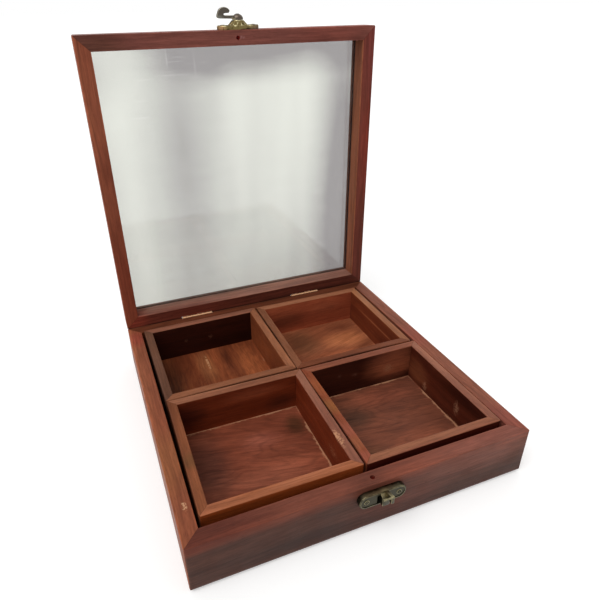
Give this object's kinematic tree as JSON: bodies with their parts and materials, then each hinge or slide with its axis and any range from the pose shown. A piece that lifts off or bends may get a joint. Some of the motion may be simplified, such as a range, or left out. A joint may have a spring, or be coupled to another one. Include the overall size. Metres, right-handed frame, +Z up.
{
  "type": "dried fruit box",
  "caption": "Shallow square wooden serving box with lift-out trays for dried fruit, under a hinged glazed lid that shuts with a swinging brass hook.",
  "frame": {"origin": "centre of the base box's underside", "axes": "+Z up, +Y from the clasp side towards the hinges, +X to the right seen from the clasp side; the lid stands open at rest"},
  "size_m": [0.203, 0.2312, 0.2497],
  "materials": {
    "base_wood": "satin, straight grained red-brown hardwood",
    "lid_wood": "satin, straight grained red-brown hardwood",
    "tray_wood": "satin, paler tan to red-brown hardwood",
    "tray_floor_wood": "satin, orange-brown hardwood",
    "pane_glass": "clear, faintly green-grey",
    "hinge_brass": "satin bright",
    "clasp_brass": "antique, cast",
    "hook_brass": "antique, darkened",
    "catch_brass": "antique, grey-green"
  },
  "bodies": {
    "base": {"base_front_wall": "base_wood", "base_back_wall": "base_wood", "base_left_wall": "base_wood", "base_right_wall": "base_wood", "base_bottom_panel": "base_wood", "left_hinge_base_leaf": "hinge_brass", "left_hinge_pin": "hinge_brass", "right_hinge_base_leaf": "hinge_brass", "right_hinge_pin": "hinge_brass", "hinge_base_screws": "hinge_brass", "clasp_catch_plate": "catch_brass", "clasp_catch_nails": "catch_brass"},
    "lid": {"lid_front_rail": "lid_wood", "lid_back_rail": "lid_wood", "lid_left_rail": "lid_wood", "lid_right_rail": "lid_wood", "lid_glass": "pane_glass", "left_hinge_lid_leaf": "hinge_brass", "right_hinge_lid_leaf": "hinge_brass", "hinge_lid_screws": "hinge_brass", "clasp_lid_plate": "clasp_brass", "clasp_rivet": "clasp_brass", "clasp_lid_nails": "clasp_brass"},
    "hook": {"clasp_hook": "hook_brass"},
    "back_left_tray": {"back_left_tray_front_wall": "tray_wood", "back_left_tray_back_wall": "tray_wood", "back_left_tray_left_wall": "tray_wood", "back_left_tray_right_wall": "tray_wood", "back_left_tray_floor": "tray_floor_wood"},
    "back_right_tray": {"back_right_tray_front_wall": "tray_wood", "back_right_tray_back_wall": "tray_wood", "back_right_tray_left_wall": "tray_wood", "back_right_tray_right_wall": "tray_wood", "back_right_tray_floor": "tray_floor_wood"},
    "front_left_tray": {"front_left_tray_front_wall": "tray_wood", "front_left_tray_back_wall": "tray_wood", "front_left_tray_left_wall": "tray_wood", "front_left_tray_right_wall": "tray_wood", "front_left_tray_floor": "tray_floor_wood"},
    "front_right_tray": {"front_right_tray_front_wall": "tray_wood", "front_right_tray_back_wall": "tray_wood", "front_right_tray_left_wall": "tray_wood", "front_right_tray_right_wall": "tray_wood", "front_right_tray_floor": "tray_floor_wood"}
  },
  "joints": [
    {"name": "lid_hinge", "type": "hinge", "parent": "base", "child": "lid", "pos_m": [0, 0.10168, 0.03293], "axis": [-1, 0, 0], "range_deg": [-90, 0]},
    {"name": "hook_swing", "type": "hinge", "parent": "lid", "child": "hook", "pos_m": [0.0018, 0.10735, 0.23661], "axis": [0, 0, -1], "range_deg": [-90, 60]},
    {"name": "back_left_tray_lift", "type": "slide", "parent": "base", "child": "back_left_tray", "axis": [0, 0, 1], "range_m": [0, 0.05]},
    {"name": "back_right_tray_lift", "type": "slide", "parent": "base", "child": "back_right_tray", "axis": [0, 0, 1], "range_m": [0, 0.05]},
    {"name": "front_left_tray_lift", "type": "slide", "parent": "base", "child": "front_left_tray", "axis": [0, 0, 1], "range_m": [0, 0.05]},
    {"name": "front_right_tray_lift", "type": "slide", "parent": "base", "child": "front_right_tray", "axis": [0, 0, 1], "range_m": [0, 0.05]}
  ]
}
